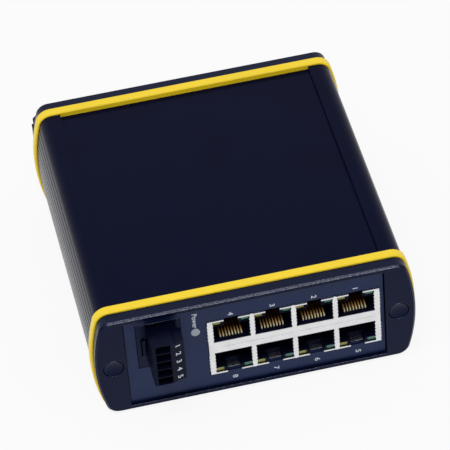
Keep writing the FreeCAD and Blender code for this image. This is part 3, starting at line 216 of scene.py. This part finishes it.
# ---------------------------------------------------------------- materials
class Finish:
    """A node material built up in plain steps: a shader, then grain, tone and edges."""

    def __init__(self, name, base, roughness, metallic=0.0):
        self.material = bpy.data.materials.new(name)
        self.tree = empty_tree(self.material)
        output = self.add("ShaderNodeOutputMaterial")
        self.shader = self.add("ShaderNodeBsdfPrincipled")
        self.join(self.shader, "BSDF", output, "Surface")
        self.base = tuple(base)
        self.set("Base Color", (*self.base, 1.0))
        self.set("Roughness", roughness)
        self.set("Metallic", metallic)
        self.roughness = roughness
        self.place = self.add("ShaderNodeTexCoord")
        self.bevel = self.normal = None

    def add(self, kind):
        """A new node."""
        return self.tree.nodes.new(kind)

    def join(self, source, out, target, into):
        """A link from one node's output to another's input."""
        self.tree.links.new(source.outputs[out], target.inputs[into])

    def set(self, socket, value):
        """A plain value on the shader itself."""
        self.shader.inputs[socket].default_value = value

    def noise(self, scale, detail, stretch=(1, 1, 1)):
        """Noise fixed to the object, stretched along its axes."""
        mapping = self.add("ShaderNodeMapping")
        mapping.inputs["Scale"].default_value = stretch
        self.join(self.place, "Object", mapping, "Vector")
        noise = self.add("ShaderNodeTexNoise")
        noise.inputs["Scale"].default_value = scale
        noise.inputs["Detail"].default_value = detail
        self.join(mapping, "Vector", noise, "Vector")
        return noise

    def edges(self, radius):
        """Soften the corners that a moulding or a folded sheet really has."""
        bevel = self.add("ShaderNodeBevel")
        bevel.samples = 6
        bevel.inputs["Radius"].default_value = radius
        self.join(bevel, "Normal", self.shader, "Normal")
        self.bevel = self.normal = bevel
        return self

    def grain(self, scale, strength, stretch=(1, 1, 1)):
        """Fine relief: moulding texture, brushing or casting skin."""
        noise = self.noise(scale, 3.0, stretch)
        bump = self.add("ShaderNodeBump")
        bump.inputs["Strength"].default_value = strength
        bump.inputs["Distance"].default_value = GRAIN_DEPTH
        self.join(noise, "Fac", bump, "Height")
        if self.normal:
            self.join(self.normal, "Normal", bump, "Normal")
        self.join(bump, "Normal", self.shader, "Normal")
        self.normal = bump
        return self

    def ramp(self, source, out, stops):
        """Base colour by a ramp of (place, colour) stops over another node's output."""
        ramp = self.add("ShaderNodeValToRGB")
        elements = ramp.color_ramp.elements
        while len(elements) < len(stops):
            elements.new(0.5)
        for element, (place, shade) in zip(elements, stops):
            element.position = place
            element.color = (*shade, 1)
        self.join(source, out, ramp, "Fac")
        self.join(ramp, "Color", self.shader, "Base Color")
        return self

    def tone(self, scale, spread):
        """Slow, slight unevenness of colour."""
        darker = [c * (1 - spread) for c in self.base]
        paler = [min(c * (1 + spread), 1) for c in self.base]
        return self.ramp(self.noise(scale, 2.0), "Fac", ((0.3, darker), (0.7, paler)))

    def sheen_spots(self, scale, spread, stretch=(1, 1, 1)):
        """Slight unevenness of gloss."""
        span = self.span(self.noise(scale, 4.0, stretch), "Fac", (0.3, 0.7),
                         (max(self.roughness - spread, 0.02), self.roughness + spread))
        self.join(span, "Result", self.shader, "Roughness")
        return self

    def span(self, source, out, given, wanted=(0.0, 1.0)):
        """Another node's output, carried from one range of values to another."""
        span = self.add("ShaderNodeMapRange")
        for name, value in zip(("From Min", "From Max", "To Min", "To Max"),
                               (*given, *wanted)):
            span.inputs[name].default_value = value
        self.join(source, out, span, "Value")
        return span

    def fade(self, start, end, stops):
        """Base colour that changes along the depth of the object, from one place to another:
        painted light and shade.
        """
        split = self.add("ShaderNodeSeparateXYZ")
        self.join(self.place, "Object", split, "Vector")
        return self.ramp(self.span(split, "Y", (start, end)), "Result", stops)

    def worn_bevel(self):
        """Paint a pale highlight, in fine specks, along the bevel over either end, where the
        bevel's normal faces forward and up.
        """
        split = self.add("ShaderNodeSeparateXYZ")
        self.join(self.bevel, "Normal", split, "Vector")
        facing = self.arithmetic("MULTIPLY", (split, "Y"), (split, "Y"))
        slant = self.arithmetic("MULTIPLY", facing, (split, "Z"))
        ridge = self.arithmetic("POWER", self.arithmetic("MULTIPLY", slant, BEVEL_HIGHLIGHT_GAIN),
                                BEVEL_HIGHLIGHT_POWER)
        specks = self.span(self.noise(BEVEL_HIGHLIGHT_SPECK_SCALE, 2.0), "Fac", (0.40, 0.62), (0.25, 1.0))
        share = self.arithmetic("MULTIPLY", ridge, (specks, "Result"))
        mix = self.add("ShaderNodeMix")
        mix.data_type = "RGBA"
        # The mix node names its colour sockets as it names its others, so they go by number.
        under, highlight, mixed = mix.inputs[6], mix.inputs[7], mix.outputs[2]
        # Colour of the highlight painted along the bevel.
        highlight.default_value = (*BEVEL_HIGHLIGHT_COLOUR, 1)
        self.join(share, "Value", mix, "Factor")
        self.tree.links.new(self.shader.inputs["Base Color"].links[0].from_socket, under)
        self.tree.links.new(mixed, self.shader.inputs["Base Color"])
        return self

    def arithmetic(self, operation, first, second):
        """A step of arithmetic on two numbers or node outputs, kept from 0 to 1."""
        step = self.add("ShaderNodeMath")
        step.operation = operation
        step.use_clamp = True
        for socket, term in zip(step.inputs, (first, second)):
            if isinstance(term, float):
                socket.default_value = term
            else:
                node, out = term if isinstance(term, tuple) else (term, "Value")
                self.tree.links.new(node.outputs[out], socket)
        return step

    def cool(self, level):
        """A dark coating whose straight-on reflection is cool and whose glancing one is white."""
        self.set("Specular IOR Level", level)
        self.set("Specular Tint", (*finish().sheen, 1.0))
        return self


def dress(material, *nodes):
    """Give whole nodes one material."""
    for node in nodes:
        mesh = NODES[node].data
        mesh.materials.clear()
        mesh.materials.append(material)


def anodised(name):
    """Fine satin anodising, brushed along the extrusion."""
    f = Finish(name, finish().case, 0.20).cool(0.08)
    return f.grain(9000, 0.10).sheen_spots(60, 0.03, (1, 0.15, 1)).tone(40, 0.12).material


def ring_moulding(name):
    """Smooth yellow moulding."""
    f = Finish(name, finish().ring, 0.36)
    return f.edges(0.35 * MM).grain(3000, 0.08).tone(90, 0.03).sheen_spots(150, 0.05).material


def cap_moulding(name):
    """Dark slate moulding with a fine texture, and a painted highlight along its bevels."""
    f = Finish(name, finish().cap, 0.28).cool(0.24)
    f.edges(0.3 * MM).grain(5200, 0.22).tone(120, 0.15).sheen_spots(300, 0.05)
    # A pale speckled line painted along the bevels stands for their highlight.
    return f.worn_bevel().material


def panel_coat(name):
    """Slate powder coat."""
    f = Finish(name, finish().panel, 0.40).cool(0.60)
    return f.edges(0.08 * MM).grain(6500, 0.16).tone(60, 0.10).sheen_spots(200, 0.05).material


def black_moulding(name, roughness=0.38):
    """Textured black moulding."""
    f = Finish(name, finish().moulding, roughness).cool(0.12)
    return f.edges(0.12 * MM).grain(5200, 0.15).tone(200, 0.15).sheen_spots(400, 0.06).material


def plated(name, base, roughness):
    """Plated or drawn metal, with a faint grain."""
    f = Finish(name, base, roughness, metallic=1.0)
    f.edges(0.08 * MM).grain(2500, 0.10, stretch=(1, 1, 0.2))
    return f.tone(300, 0.05).sheen_spots(700, 0.06).material


def light_pipe(name, base):
    """Tinted clear moulding."""
    f = Finish(name, base, 0.22)
    f.set("Transmission Weight", 0.08)
    f.set("IOR", 1.49)
    return f.edges(0.12 * MM).grain(900, 0.06).tone(500, 0.10).material


def printed(name):
    """Pale matt ink."""
    f = Finish(name, finish().print_ink, 0.55)
    return f.tone(1500, 0.06).grain(9000, 0.05).material


# ---------------------------------------------------------------- print
def figure(name, text, height, spot, facing, upright, material, width=1.0):
    """A printed figure centred on a spot, facing outward, with its top towards upright."""
    sizes = bpy.context.scene.rail_switch_print
    ink = sizes.ink
    curve = bpy.data.curves.new(name, "FONT")
    curve.body = text
    curve.align_x = "CENTER"
    curve.align_y = "CENTER"
    curve.size = height / FIGURE_SHARE
    curve.extrude = ink / 2
    curve.offset = sizes.stroke
    curve.materials.append(material)
    piece = placed(name, curve)
    out = Vector(facing).normalized()
    up = Vector(upright).normalized()
    right = up.cross(out)
    turn = Matrix((right, up, out)).transposed().to_4x4()
    piece.matrix_world = (Matrix.Translation(Vector(spot) + out * ink / 2) @ turn
                          @ Matrix.Diagonal((width, 1, 1, 1)))
    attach(piece, "switch")


# ---------------------------------------------------------------- operators
class DressOperator(bpy.types.Operator):
    """A step of the dressing"""
    bl_options = {"REGISTER", "UNDO"}


class RAILSWITCH_OT_case(DressOperator):
    """Finish the extruded case and its cover"""
    bl_idname = "rail_switch.case"
    bl_label = "Case and cover"

    def execute(self, context):
        dress(anodised("black_anodising"), "case_extrusion", "top_cover")
        return {"FINISHED"}


class RAILSWITCH_OT_rings(DressOperator):
    """Finish both trim rings"""
    bl_idname = "rail_switch.rings"
    bl_label = "Trim rings"

    def execute(self, context):
        dress(ring_moulding("yellow_ring"), "front_ring", "rear_ring")
        return {"FINISHED"}


class RAILSWITCH_OT_caps(DressOperator):
    """Finish the end caps, their screws and the blanks over them"""
    bl_idname = "rail_switch.caps"
    bl_label = "End caps"

    def execute(self, context):
        dress(cap_moulding("slate_cap"), "front_cap", "rear_cap")
        slate = cap_moulding("slate_blank")
        dress(slate, "front_screw_blanks", "rear_screw_blanks")
        self.blanks("front", -1, slate)
        self.blanks("rear", 1, slate)
        dress(plated("blackened_steel", (0.10, 0.10, 0.11), 0.35),
              "front_case_screws", "rear_case_screws", "clip_screws")
        return {"FINISHED"}

    def blanks(self, end, outward, material):
        """Dished discs in place of the plain ones, turned from one profile."""
        node = f"{end}_screw_blanks"
        low, high = box_of(node)
        radius = (high.z - low.z) / 2
        face, back = (low.y, high.y) if outward < 0 else (high.y, low.y)
        mesh = bmesh.new()
        for x in (low.x + radius, high.x - radius):
            centre = Vector((x, 0, (low.z + high.z) / 2))
            rings = [self.turn(mesh, centre, radius * share, face - outward * sunk)
                     for share, sunk in DISH]
            rings.append(self.turn(mesh, centre, radius, back))
            for inner, outer in zip(rings, rings[1:]):
                for step in range(DISH_STEPS):
                    after = (step + 1) % DISH_STEPS
                    mesh.faces.new((inner[step], inner[after], outer[after], outer[step]))
            mesh.faces.new(rings[0])
            mesh.faces.new(rings[-1][::-1])
        data = mesh_data(f"{end}_dished_blanks", mesh, material)
        data.shade_smooth()
        piece = placed(f"{end}_dished_blanks", data)
        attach(piece, "switch")
        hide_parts(node)

    def turn(self, mesh, centre, radius, y):
        """A ring of points round a blank's axis."""
        angles = [2 * math.pi * step / DISH_STEPS for step in range(DISH_STEPS)]
        return [mesh.verts.new((centre.x + radius * math.cos(angle), y,
                                centre.z + radius * math.sin(angle))) for angle in angles]


class RAILSWITCH_OT_panel(DressOperator):
    """Finish the front panel, print its figures and fit the power lamp's lens"""
    bl_idname = "rail_switch.panel"
    bl_label = "Front panel"

    def execute(self, context):
        sizes = context.scene.rail_switch_print
        dress(panel_coat("slate_panel"), "front_panel")
        ink = printed("panel_print")
        face = box_of("front_panel")[0].y
        low, high = box_of("jack_shield")
        middle = (low + high) / 2
        for column in range(PORT_COLUMNS):
            x = middle.x + (column - (PORT_COLUMNS - 1) / 2) * PORT_PITCH
            upper = PORT_COLUMNS - column
            for number, z in ((upper, middle.z + UPPER_NUMBERS),
                              (upper + PORT_COLUMNS, middle.z - LOWER_NUMBERS)):
                figure(f"port_number_{number}", str(number), sizes.port_figure,
                       (x, face, z), (0, -1, 0), (1, 0, 0), ink, sizes.figure_width)
        lens_low, lens_high = box_of("power_lamp_lens")
        lens = (lens_low + lens_high) / 2
        figure("power_word", "Power", sizes.word, (lens.x, face, lens.z + WORD_RISE),
               (0, -1, 0), (1, 0, 0), ink)
        lens_finish = Finish("clear_lens", (0.42, 0.46, 0.55), 0.22)
        lens_finish.set("Transmission Weight", 0.2)
        dress(lens_finish.edges(0.3 * MM).grain(1500, 0.1).tone(600, 0.08).material,
              "power_lamp_lens")
        dress(black_moulding("lamp_body"), "power_lamp")
        return {"FINISHED"}


class RAILSWITCH_OT_jacks(DressOperator):
    """Finish the stacked jacks: shield, moulded block, contacts and light pipes"""
    bl_idname = "rail_switch.jacks"
    bl_label = "Jacks"

    def execute(self, context):
        colours = finish()
        tin = plated("plated_shield", colours.shield, 0.30)
        dress(tin, "jack_shield")
        dress(black_moulding("jack_block", 0.55), "jack_insulator")
        dress(self.gold(colours.contact), "jack_contacts")
        self.fingers(tin)
        dress(light_pipe("yellow_pipe", colours.yellow_pipe), "yellow_light_pipes")
        dress(light_pipe("green_pipe", colours.green_pipe), "green_light_pipes")
        return {"FINISHED"}

    def gold(self, base):
        """Gold, with a painted highlight on the front tips, fading to painted shade, nearly
        black, further into the jack.
        """
        f = Finish("gold_contact", base, 0.32, metallic=0.25)
        front = box_of("jack_contacts")[0].y
        # Painted highlight on the contacts' tips, and painted shade deeper in the jack.
        painted_tip_highlight = tuple(min(c + 0.35, 1) for c in base)
        painted_depth_shade = tuple(c * share for c, share in zip(base, (0.08, 0.05, 0.05)))
        f.edges(0.06 * MM).grain(2500, 0.08)
        return f.fade(front, front + CONTACT_SHADE_LENGTH,
                      ((0.0, painted_tip_highlight), (0.09, painted_tip_highlight), (0.20, base), (0.50, painted_depth_shade))).material

    def fingers(self, material):
        """The spring nibs stamped along the shield's uprights and its two ends."""
        sizes = bpy.context.scene.rail_switch_fingers
        low, high = box_of("jack_shield")
        middle = (low + high) / 2
        mesh = bmesh.new()
        edges = [(low.x, -1), (low.x + SHIELD_END, 1), (high.x - SHIELD_END, -1), (high.x, 1)]
        for column in (-1, 0, 1):
            x = middle.x + column * PORT_PITCH
            edges += [(x - SHIELD_UPRIGHT / 2, -1), (x + SHIELD_UPRIGHT / 2, 1)]
            for top, side in ((high.z, 1), (low.z, -1)):
                self.nib(mesh, (x, low.y, top), (0, side), (1, 0), sizes)
        for x, side in edges:
            for row in (-1, 1):
                for step in range(NIBS_A_PORT):
                    z = middle.z + row * (SHIELD_BAR + (step + 1) * sizes.pitch)
                    self.nib(mesh, (x, low.y, z), (side, 0), (0, 1), sizes)
        piece = placed("shield_fingers", mesh_data("shield_fingers", mesh, material))
        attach(piece, "switch")

    def nib(self, mesh, spot, outward, along, sizes):
        """A half-round nib: its outline at the shield's face, and again behind it."""
        rings = []
        for depth, share in ((0.0, 0.72), (0.25 * NIB_THICK, 1.0), (NIB_THICK, 1.0)):
            ring = []
            for step in range(NIB_STEPS + 1):
                angle = math.pi * step / NIB_STEPS
                reach = sizes.proud * share * math.sin(angle)
                run = sizes.half * share * math.cos(angle)
                ring.append(mesh.verts.new((spot[0] + outward[0] * reach + along[0] * run,
                                            spot[1] + depth,
                                            spot[2] + outward[1] * reach + along[1] * run)))
            rings.append(ring)
        for near, far in zip(rings, rings[1:]):
            for a, b, c, d in zip(near, near[1:], far[1:], far):
                mesh.faces.new((a, b, c, d))
            mesh.faces.new((near[-1], near[0], far[0], far[-1]))
        mesh.faces.new(rings[0])
        mesh.faces.new(rings[-1][::-1])


class RAILSWITCH_OT_terminal(DressOperator):
    """Finish the power terminal, and number the plug's ways"""
    bl_idname = "rail_switch.terminal"
    bl_label = "Power terminal"

    def execute(self, context):
        sizes = context.scene.rail_switch_print
        dress(black_moulding("terminal_moulding", 0.34), "terminal_plug")
        dress(cap_moulding("header_moulding"), "terminal_header")
        dress(plated("tinned_metal", (0.42, 0.40, 0.37), 0.35), "header_pins", "wire_cages")
        dress(plated("clamp_screw_steel", (0.35, 0.35, 0.36), 0.30), "clamp_screws")
        ink = printed("plug_print")
        low, high = box_of("terminal_plug")
        start = Vector((high.x - PLUG_SLOPE_WIDTH, low.y, 0))
        end = Vector((high.x, low.y + PLUG_SLOPE_DEPTH, 0))
        along = (end - start).normalized()
        out = Vector((along.y, -along.x, 0))
        middle = (start + end) / 2
        centre = (low.z + high.z) / 2
        for way in range(WAYS):
            spot = Vector((middle.x, middle.y, centre + ((WAYS - 1) / 2 - way) * WAY_PITCH))
            figure(f"way_number_{way + 1}", str(way + 1), sizes.way_figure, spot, out,
                   along, ink, sizes.figure_width)
        return {"FINISHED"}


class RAILSWITCH_OT_electronics(DressOperator):
    """Finish the boards and what they carry"""
    bl_idname = "rail_switch.electronics"
    bl_label = "Electronics"

    def execute(self, context):
        board = Finish("solder_mask", (0.012, 0.10, 0.035), 0.35)
        dress(board.grain(1800, 0.12).tone(700, 0.2).material, "main_board", "power_board")
        package = Finish("chip_package", (0.018, 0.018, 0.02), 0.55)
        dress(package.edges(0.15 * MM).grain(6000, 0.2).tone(300, 0.1).material, "board_link",
              "port_transformers", "switch_chip", "power_regulator")
        ferrite = Finish("ferrite", (0.035, 0.036, 0.04), 0.65)
        dress(ferrite.edges(0.3 * MM).grain(3500, 0.3).tone(800, 0.15).material,
              "power_inductor")
        dress(plated("drawn_can", (0.72, 0.72, 0.74), 0.28), "board_capacitors",
              "clock_crystal")
        return {"FINISHED"}


class RAILSWITCH_OT_rail_clip(DressOperator):
    """Finish the rail clip, its latch and its spring"""
    bl_idname = "rail_switch.rail_clip"
    bl_label = "Rail clip"

    def execute(self, context):
        dress(black_moulding("clip_moulding", 0.45), "clip_base")
        dress(black_moulding("latch_moulding", 0.42), "rail_latch")
        steel = plated("spring_wire", (0.60, 0.60, 0.62), 0.28)
        dress(steel, "latch_spring")
        self.coil(steel)
        return {"FINISHED"}

    def coil(self, material):
        """The latch's spring as it is wound, with closed end turns."""
        low, high = box_of("latch_spring")
        middle = (low + high) / 2
        radius = (high.z - low.z - SPRING_WIRE) / 2
        rise = (high.x - low.x - SPRING_WIRE * (1 + 2 * CLOSED_TURNS)) / OPEN_TURNS
        turns = OPEN_TURNS + 2 * CLOSED_TURNS
        steps = round(turns * STEPS_A_TURN)
        curve = bpy.data.curves.new("latch_coil_path", "CURVE")
        curve.dimensions = "3D"
        curve.bevel_depth = SPRING_WIRE / 2
        curve.bevel_resolution = 3
        curve.use_fill_caps = True
        path = curve.splines.new("POLY")
        path.points.add(steps)
        for step, point in enumerate(path.points):
            turned = turns * step / steps
            closed = (min(turned, CLOSED_TURNS)
                      + max(turned - CLOSED_TURNS - OPEN_TURNS, 0))
            x = low.x + SPRING_WIRE * (0.5 + closed) + rise * (turned - closed)
            angle = 2 * math.pi * turned
            point.co = (x, middle.y + radius * math.cos(angle),
                        middle.z + radius * math.sin(angle), 1)
        guide = placed("latch_coil_path", curve)
        bpy.context.view_layer.update()
        data = bpy.data.meshes.new_from_object(guide)
        bpy.data.objects.remove(guide)
        bpy.data.curves.remove(curve)
        data.shade_smooth()
        data.materials.clear()
        data.materials.append(material)
        piece = placed("latch_coil", data)
        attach(piece, "switch")
        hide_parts("latch_spring")
        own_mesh(piece)


def seen_ray(tree):
    """1 for the kinds of ray that see the pale background, and 0 for the rest."""
    path = tree.nodes.new("ShaderNodeLightPath")
    total = path.outputs[SEEN_RAYS[0]]
    for name in SEEN_RAYS[1:]:
        most = tree.nodes.new("ShaderNodeMath")
        most.operation = "MAXIMUM"
        tree.links.new(total, most.inputs[0])
        tree.links.new(path.outputs[name], most.inputs[1])
        total = most.outputs[0]
    return total


def mixed_output(tree, kind, share, lit, seen):
    """Joins a lit look and a seen look, by a share, to the tree's output."""
    output = tree.nodes.new(kind)
    mix = tree.nodes.new("ShaderNodeMixShader")
    tree.links.new(share, mix.inputs["Fac"])
    tree.links.new(lit.outputs[0], mix.inputs[1])
    tree.links.new(seen.outputs[0], mix.inputs[2])
    tree.links.new(mix.outputs["Shader"], output.inputs["Surface"])


class RAILSWITCH_OT_stage(DressOperator):
    """Lay the floor, light it softly and place the camera"""
    bl_idname = "rail_switch.stage"
    bl_label = "Stage"

    def execute(self, context):
        settings = context.scene.rail_switch_stage
        self.floor()
        self.world(settings)
        self.lamp(settings)
        self.camera(context, settings)
        context.scene.view_settings.view_transform = "Standard"
        return {"FINISHED"}

    def floor(self):
        """A wide pale floor that keeps the switch's shadow."""
        mesh = bpy.data.meshes.new("floor")
        mesh.from_pydata([(x * FLOOR_REACH, y * FLOOR_REACH, 0)
                          for x, y in ((-1, -1), (1, -1), (1, 1), (-1, 1))],
                         [], [(0, 1, 2, 3)])
        floor = placed("floor", mesh)
        material = bpy.data.materials.new("pale_floor")
        tree = empty_tree(material)
        matt = tree.nodes.new("ShaderNodeBsdfDiffuse")
        matt.inputs["Color"].default_value = FLOOR_COLOUR
        glow = tree.nodes.new("ShaderNodeEmission")
        glow.inputs["Color"].default_value = WHITE
        glow.inputs["Strength"].default_value = FLOOR_GLOW
        share = tree.nodes.new("ShaderNodeMath")
        share.operation = "MULTIPLY"
        share.inputs[1].default_value = FLOOR_GLOW_SHARE
        tree.links.new(seen_ray(tree), share.inputs[0])
        mixed_output(tree, "ShaderNodeOutputMaterial", share.outputs[0], matt, glow)
        mesh.materials.append(material)

    def world(self, settings):
        """Even light all round, seen as white."""
        world = bpy.data.worlds.new("studio")
        bpy.context.scene.world = world
        tree = empty_tree(world)
        even = tree.nodes.new("ShaderNodeBackground")
        even.inputs["Strength"].default_value = settings.fill
        even.inputs["Color"].default_value = FILL_COLOUR
        white = tree.nodes.new("ShaderNodeBackground")
        white.inputs["Color"].default_value = WHITE
        mixed_output(tree, "ShaderNodeOutputWorld", seen_ray(tree), even, white)

    def lamp(self, settings):
        """One large soft light overhead."""
        data = bpy.data.lights.new("overhead_light", "AREA")
        data.shape = "DISK"
        data.size = LAMP_SIZE
        data.energy = settings.key
        lamp = placed("overhead_light", data)
        lamp.location = LAMP_PLACE
        lamp.rotation_euler = (LAMP_AIM - LAMP_PLACE).to_track_quat("-Z", "Y").to_euler()

    def camera(self, context, settings):
        """A long lens, looking down at the front."""
        data = bpy.data.cameras.new("camera")
        data.lens = settings.lens
        data.sensor_width = 36.0
        data.clip_start = 0.05
        data.clip_end = 20.0
        camera = placed("camera", data)
        camera.location = CAMERA_PLACE
        camera.rotation_euler = Euler([math.radians(angle) for angle in CAMERA_TURN], "XYZ")
        context.scene.camera = camera


OPERATORS = (
    RAILSWITCH_OT_case,
    RAILSWITCH_OT_rings,
    RAILSWITCH_OT_caps,
    RAILSWITCH_OT_panel,
    RAILSWITCH_OT_jacks,
    RAILSWITCH_OT_terminal,
    RAILSWITCH_OT_electronics,
    RAILSWITCH_OT_rail_clip,
    RAILSWITCH_OT_stage,
)


class RAILSWITCH_PT_panel(bpy.types.Panel):
    """Lists the switch's settings and dressing steps"""
    bl_label = "Rail switch"
    bl_idname = "RAILSWITCH_PT_panel"
    bl_space_type = "VIEW_3D"
    bl_region_type = "UI"
    bl_category = "Rail switch"

    def draw(self, context):
        layout = self.layout
        for settings in GROUPS:
            group = getattr(context.scene, settings)
            column = layout.column(align=True)
            for name in group.__annotations__:
                column.prop(group, name)
        for operator in OPERATORS:
            layout.operator(operator.bl_idname)


GROUPS = {
    "rail_switch_finish": RailSwitchFinish,
    "rail_switch_print": RailSwitchPrint,
    "rail_switch_fingers": RailSwitchFingers,
    "rail_switch_stage": RailSwitchStage,
}
CLASSES = (*GROUPS.values(), *OPERATORS, RAILSWITCH_PT_panel)


def register():
    for item in CLASSES:
        bpy.utils.register_class(item)
    for settings, group in GROUPS.items():
        setattr(bpy.types.Scene, settings, PointerProperty(type=group))


def unregister():
    for settings in GROUPS:
        delattr(bpy.types.Scene, settings)
    for item in reversed(CLASSES):
        bpy.utils.unregister_class(item)


def main():
    """Dress the switch and set the stage."""
    register()
    for operator in OPERATORS:
        area, step = operator.bl_idname.split(".")
        getattr(getattr(bpy.ops, area), step)()


if __name__ == "__main__":
    main()
